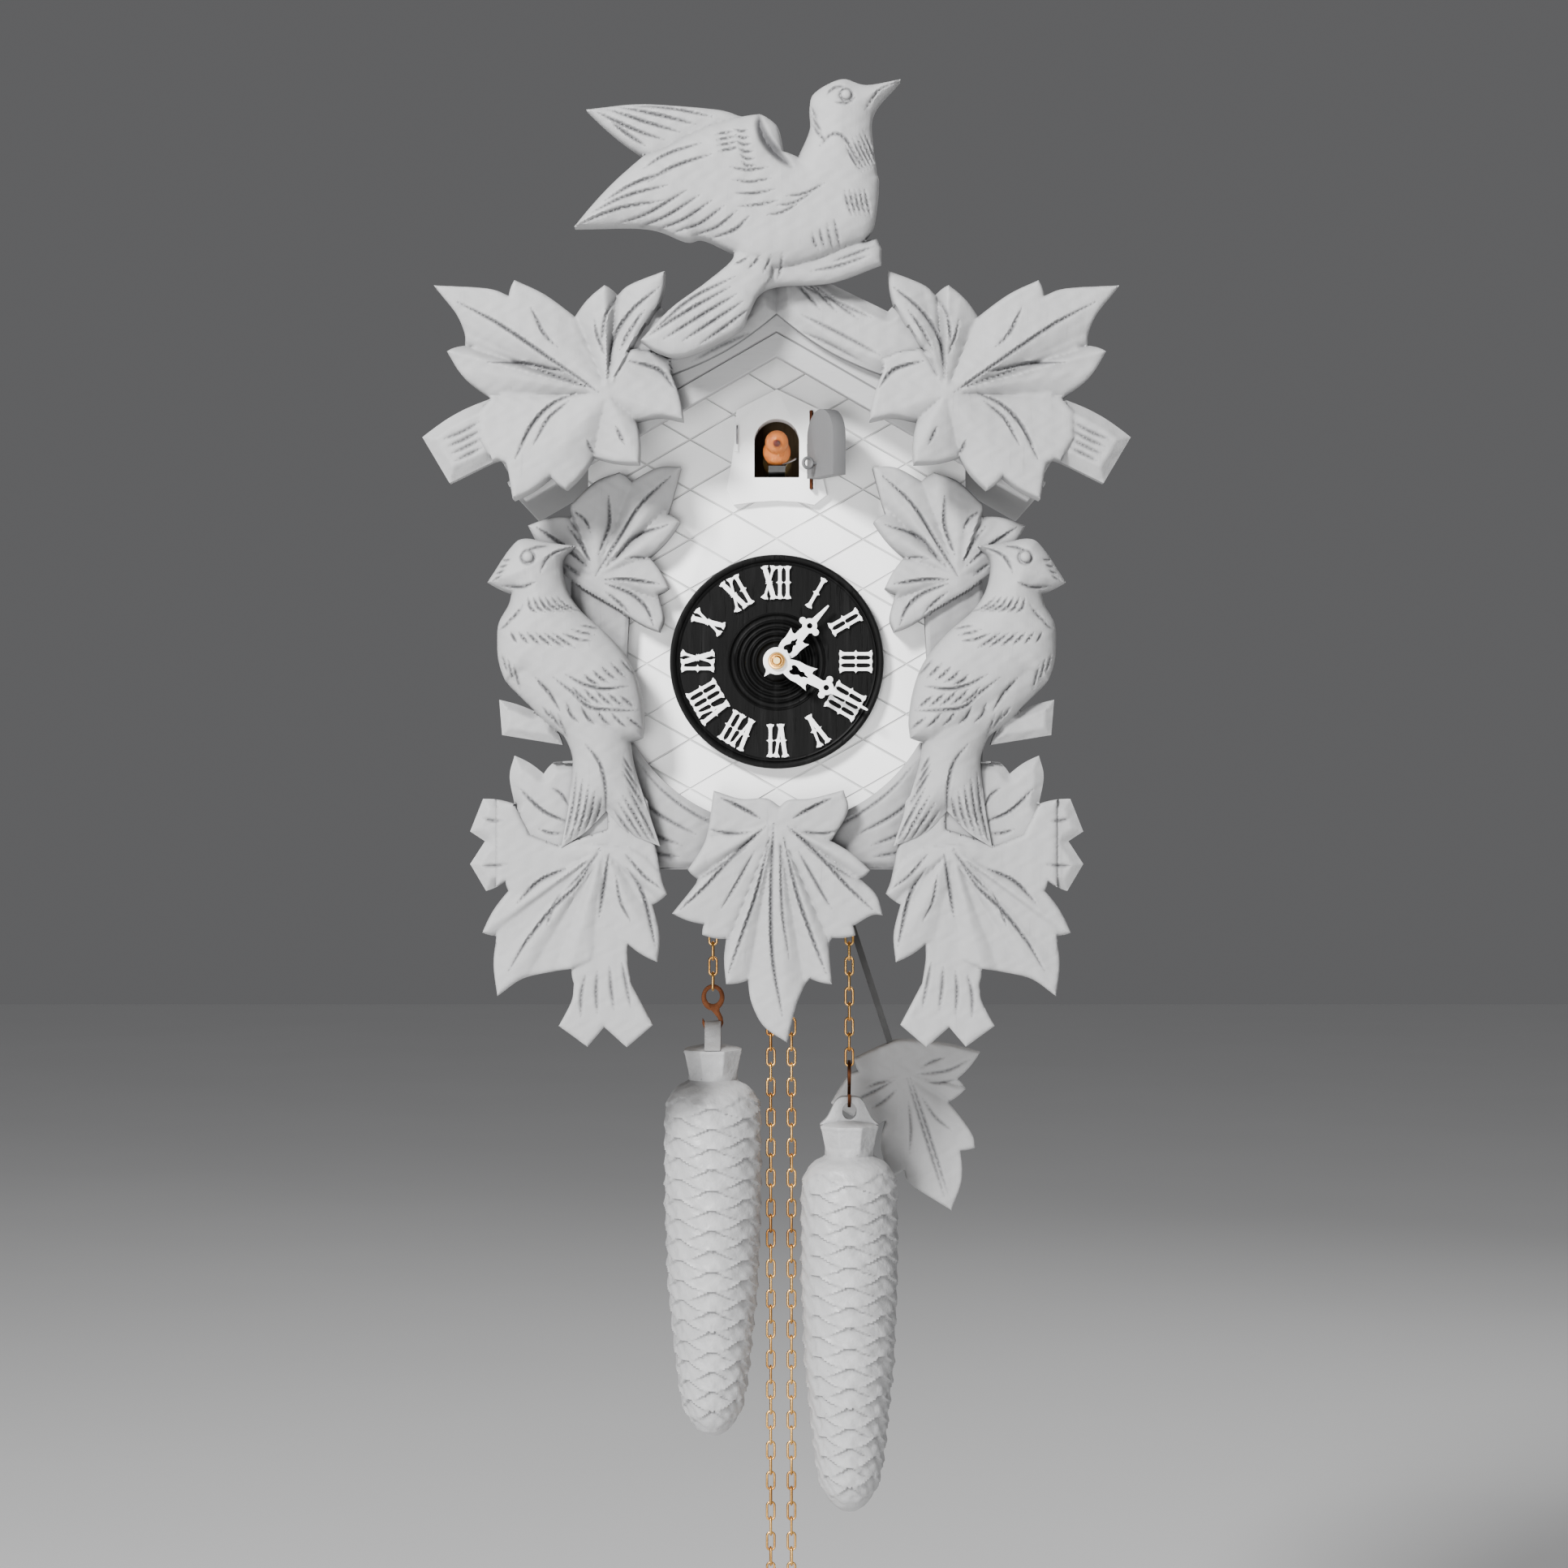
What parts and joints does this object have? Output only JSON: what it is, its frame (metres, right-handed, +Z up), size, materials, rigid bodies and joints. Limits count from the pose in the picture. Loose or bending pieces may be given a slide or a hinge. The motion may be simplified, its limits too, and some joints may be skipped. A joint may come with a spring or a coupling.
{
  "type": "cuckoo clock",
  "caption": "Wall-hung chain-driven cuckoo clock with a carved leaf and bird surround, arched bird door, round dial, cone weights and leaf pendulum.",
  "frame": {"origin": "centre of the wall hook bore in the hanger plate, on the back plane that rests on the wall", "axes": "+X to the right seen from the front, +Y back towards the wall, +Z up"},
  "size_m": [0.248, 0.142, 0.5668],
  "materials": {
    "grey_paint": "matte grey paint on carved wood",
    "white_paint": "matte white paint on wood",
    "black_wood": "black stained, open grain",
    "numeral_plastic": "moulded",
    "plain_wood": "unfinished",
    "brass": "satin",
    "copper_wire": "dull copper",
    "orange_paint": "painted",
    "grey_cast": "painted casting",
    "dark_steel": "blued",
    "black_support": "plain"
  },
  "bodies": {
    "case": {"case_left_wall": "grey_paint", "case_right_wall": "grey_paint", "case_floor": "plain_wood", "front_panel": "white_paint", "door_plaque": "white_paint", "back_rail": "plain_wood", "hanger_plate": "brass", "roof_left": "grey_paint", "roof_right": "grey_paint", "fascia": "grey_paint", "dial": "black_wood", "numerals": "numeral_plastic", "door_hinge_wire": "copper_wire", "side_carving_left": "grey_paint", "side_carving_right": "grey_paint", "bottom_rail": "grey_paint", "low_leaf_left": "grey_paint", "low_leaf_right": "grey_paint", "centre_leaf": "grey_paint", "side_bird_left": "grey_paint", "side_bird_right": "grey_paint", "crown_left": "grey_paint", "crown_right": "grey_paint", "crown_bird": "grey_paint", "movement_front_plate": "brass", "movement_back_plate": "brass", "plate_pillars": "brass", "bellows_boxes": "plain_wood"},
    "back_cover": {"back_door": "plain_wood", "gong": "dark_steel"},
    "turn_button": {"turn_button": "brass"},
    "minute_train": {"minute_hand": "numeral_plastic", "hand_nut": "brass", "centre_wheel": "brass"},
    "hour_train": {"hour_hand": "numeral_plastic", "hour_wheel": "brass"},
    "time_great": {"time_great_wheel": "brass"},
    "third": {"third_wheel": "brass"},
    "escape": {"escape_wheel": "brass"},
    "anchor": {"anchor": "brass"},
    "pendulum": {"pendulum_leader": "plain_wood", "pendulum_leaf": "grey_paint"},
    "cuckoo_door": {"cuckoo_door": "grey_paint"},
    "cuckoo": {"cuckoo_bird": "orange_paint", "bird_lever": "black_support"},
    "weight_left": {"weight_left": "grey_cast", "hook_left": "copper_wire", "load_chain_left": "brass"},
    "weight_right": {"weight_right": "grey_cast", "hook_right": "copper_wire", "load_chain_right": "brass"},
    "free_chain_left": {"free_chain_left": "brass"},
    "free_chain_right": {"free_chain_right": "brass"},
    "sprocket_left": {"sprocket_left": "brass"},
    "sprocket_right": {"sprocket_right": "brass"},
    "strike_great": {"strike_great_wheel": "brass"},
    "fly": {"fly": "brass"},
    "hammer": {"hammer": "dark_steel"},
    "bellows_lid_left": {"bellows_lid_left": "plain_wood"},
    "bellows_lid_right": {"bellows_lid_right": "plain_wood"}
  },
  "joints": [
    {"name": "minute_spin", "type": "hinge", "parent": "case", "child": "minute_train", "pos_m": [0, -0.1, -0.08], "axis": [0, 1, 0], "continuous": true},
    {"name": "hour_spin", "type": "hinge", "parent": "case", "child": "hour_train", "pos_m": [0, -0.095, -0.08], "axis": [0, 1, 0], "continuous": true},
    {"name": "time_great_spin", "type": "hinge", "parent": "case", "child": "time_great", "pos_m": [0.01615, -0.07, -0.1], "axis": [0, 1, 0], "continuous": true},
    {"name": "third_spin", "type": "hinge", "parent": "case", "child": "third", "pos_m": [0.00962, -0.06, -0.06304], "axis": [0, 1, 0], "continuous": true},
    {"name": "escape_spin", "type": "hinge", "parent": "case", "child": "escape", "pos_m": [0, -0.05, -0.05], "axis": [0, 1, 0], "continuous": true},
    {"name": "pendulum_swing", "type": "hinge", "parent": "case", "child": "pendulum", "pos_m": [0, -0.0197, -0.09], "axis": [0, 1, 0], "range_deg": [0, 36]},
    {"name": "anchor_swing", "type": "hinge", "parent": "case", "child": "anchor", "pos_m": [0, -0.04, -0.035], "axis": [0, 1, 0], "range_deg": [0, 5.6]},
    {"name": "cuckoo_door_swing", "type": "hinge", "parent": "case", "child": "cuckoo_door", "pos_m": [0.0124, -0.0959, -0.0025], "axis": [0, 0, 1], "range_deg": [-117, 0]},
    {"name": "cuckoo_slide", "type": "slide", "parent": "case", "child": "cuckoo", "axis": [0, 1, 0], "range_m": [0, 0.02]},
    {"name": "weight_left_travel", "type": "slide", "parent": "case", "child": "weight_left", "axis": [0, 0, 1], "range_m": [-0.024, 0.024]},
    {"name": "weight_right_travel", "type": "slide", "parent": "case", "child": "weight_right", "axis": [0, 0, 1], "range_m": [-0.024, 0.024]},
    {"name": "free_chain_left_travel", "type": "slide", "parent": "case", "child": "free_chain_left", "axis": [0, 0, 1], "range_m": [-0.0242, 0.0242]},
    {"name": "free_chain_right_travel", "type": "slide", "parent": "case", "child": "free_chain_right", "axis": [0, 0, 1], "range_m": [-0.0242, 0.0242]},
    {"name": "sprocket_left_spin", "type": "hinge", "parent": "case", "child": "sprocket_left", "pos_m": [-0.0131, -0.05, -0.1], "axis": [0, 1, 0], "range_deg": [-130, 130]},
    {"name": "sprocket_right_spin", "type": "hinge", "parent": "case", "child": "sprocket_right", "pos_m": [0.01615, -0.05, -0.1], "axis": [0, 1, 0], "range_deg": [-130, 130]},
    {"name": "strike_great_spin", "type": "hinge", "parent": "case", "child": "strike_great", "pos_m": [-0.0131, -0.06, -0.1], "axis": [0, 1, 0], "continuous": true},
    {"name": "fly_spin", "type": "hinge", "parent": "case", "child": "fly", "pos_m": [-0.0271, -0.06, -0.083], "axis": [0, 1, 0], "continuous": true},
    {"name": "hammer_swing", "type": "hinge", "parent": "case", "child": "hammer", "pos_m": [0.026, -0.04, -0.075], "axis": [0, 1, 0], "range_deg": [-10, 0]},
    {"name": "bellows_left_lift", "type": "hinge", "parent": "case", "child": "bellows_lid_left", "pos_m": [-0.054, -0.048, -0.05635], "axis": [-1, 0, 0], "range_deg": [0, 15]},
    {"name": "bellows_right_lift", "type": "hinge", "parent": "case", "child": "bellows_lid_right", "pos_m": [0.054, -0.048, -0.05635], "axis": [-1, 0, 0], "range_deg": [0, 15]},
    {"name": "back_door_swing", "type": "hinge", "parent": "case", "child": "back_cover", "pos_m": [-0.0595, -0.0035, -0.08], "axis": [0, 0, 1], "range_deg": [0, 100]},
    {"name": "turn_button_turn", "type": "hinge", "parent": "case", "child": "turn_button", "pos_m": [0.025, -0.001, -0.01], "axis": [0, 1, 0], "range_deg": [-90, 0]}
  ],
  "couplings": [
    {"joint": "hour_spin", "follows": "minute_spin", "ratio": 0.083333},
    {"joint": "time_great_spin", "follows": "minute_spin", "ratio": -0.16667},
    {"joint": "third_spin", "follows": "minute_spin", "ratio": -12},
    {"joint": "escape_spin", "follows": "minute_spin", "ratio": 150},
    {"joint": "anchor_swing", "follows": "pendulum_swing", "ratio": 0.15385},
    {"joint": "cuckoo_slide", "follows": "cuckoo_door_swing", "m_per_rad": -0.0097893},
    {"joint": "free_chain_left_travel", "follows": "weight_left_travel", "ratio": -1},
    {"joint": "free_chain_right_travel", "follows": "weight_right_travel", "ratio": -1},
    {"joint": "sprocket_left_spin", "follows": "weight_left_travel", "rad_per_m": 92.837},
    {"joint": "sprocket_right_spin", "follows": "weight_right_travel", "rad_per_m": -92.837},
    {"joint": "fly_spin", "follows": "strike_great_spin", "ratio": -10}
  ]
}
